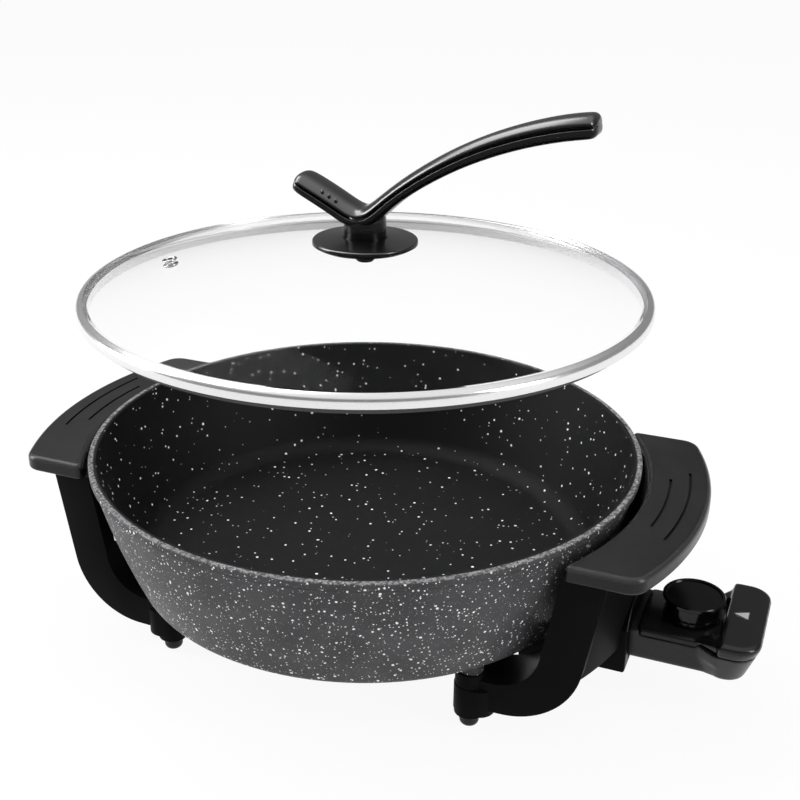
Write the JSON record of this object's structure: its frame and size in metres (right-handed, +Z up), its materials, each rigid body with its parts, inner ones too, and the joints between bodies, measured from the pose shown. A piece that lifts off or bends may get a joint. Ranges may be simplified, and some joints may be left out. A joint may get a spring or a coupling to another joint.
{
  "type": "electric hot pot with lid",
  "caption": "Round electric hot pot on two side stands with wing handles, a domed glass lid with a V-shaped lifting knob, and a plug-in thermostat control with a turning dial.",
  "frame": {"origin": "on the surface that the feet stand on, below the centre of the whole outline, which lies 20.7 mm towards the control from the pot's own axis", "axes": "+Z up, +X from the pot towards the thermostat control, +Y to the rear"},
  "size_m": [0.4617, 0.34, 0.3436],
  "materials": {
    "speckled_coating": "satin grey coating with white speckles on die-cast aluminium",
    "element_steel": "dull steel tube",
    "pin_metal": "nickel-plated pin",
    "ceramic": "unglazed white ceramic",
    "zinc_sheet": "zinc-plated sheet steel",
    "black_resin": "satin black phenolic resin",
    "handle_resin": "satin charcoal phenolic resin",
    "foot_rubber": "matt black rubber",
    "screw_steel": "zinc-plated steel",
    "shroud_resin": "satin black phenolic resin",
    "lid_glass": "clear tempered glass",
    "polished_band": "polished stainless steel",
    "vent_metal": "polished stainless eyelet",
    "gasket_rubber": "black silicone rubber",
    "knob_resin": "semi-gloss black phenolic resin",
    "housing_resin": "satin black resin",
    "gloss_resin": "gloss black resin",
    "probe_steel": "stainless tube",
    "contact_brass": "plain brass",
    "switch_resin": "brown phenolic switch block",
    "lens_resin": "milky translucent resin",
    "lamp_glass": "neon lamp glass",
    "bush_rubber": "black rubber",
    "dial_resin": "gloss black resin",
    "shaft_steel": "turned steel"
  },
  "bodies": {
    "cooker": {"pot_body": "speckled_coating", "heating_element": "element_steel", "terminal_pin_front": "pin_metal", "terminal_pin_rear": "pin_metal", "insulator_front": "ceramic", "insulator_rear": "ceramic", "terminal_plate": "zinc_sheet", "left_bracket": "black_resin", "right_bracket": "black_resin", "left_handle": "handle_resin", "right_handle": "handle_resin", "front_right_foot": "foot_rubber", "rear_right_foot": "foot_rubber", "front_left_foot": "foot_rubber", "rear_left_foot": "foot_rubber", "bracket_screws": "screw_steel", "handle_screws": "screw_steel", "socket_shroud": "shroud_resin", "shroud_screws": "screw_steel"},
    "lid": {"lid_glass": "lid_glass", "lid_rim": "polished_band", "vent_grommet": "vent_metal", "knob_gasket": "gasket_rubber", "knob_washer": "zinc_sheet", "knob_screw": "screw_steel", "knob_base": "knob_resin", "knob_handle": "knob_resin"},
    "control": {"control_lower_housing": "housing_resin", "control_upper_housing": "gloss_resin", "thermostat_probe": "probe_steel", "contact_sleeve_front": "contact_brass", "contact_blade_front": "contact_brass", "contact_sleeve_rear": "contact_brass", "contact_blade_rear": "contact_brass", "thermostat_switch": "switch_resin", "indicator_lens": "lens_resin", "indicator_lamp": "lamp_glass", "cord_bush": "bush_rubber", "housing_screws": "screw_steel"},
    "dial": {"dial_knob": "dial_resin", "dial_shaft": "shaft_steel"}
  },
  "joints": [
    {"name": "lid_lift", "type": "slide", "parent": "cooker", "child": "lid", "axis": [0, 0, 1], "range_m": [-0.094, 0.06]},
    {"name": "control_pull", "type": "slide", "parent": "cooker", "child": "control", "axis": [1, 0, 0], "range_m": [0, 0.09]},
    {"name": "dial_turn", "type": "hinge", "parent": "control", "child": "dial", "pos_m": [0.1883, 0, 0.0675], "axis": [0, 0, 1], "range_deg": [-270, 0]}
  ]
}
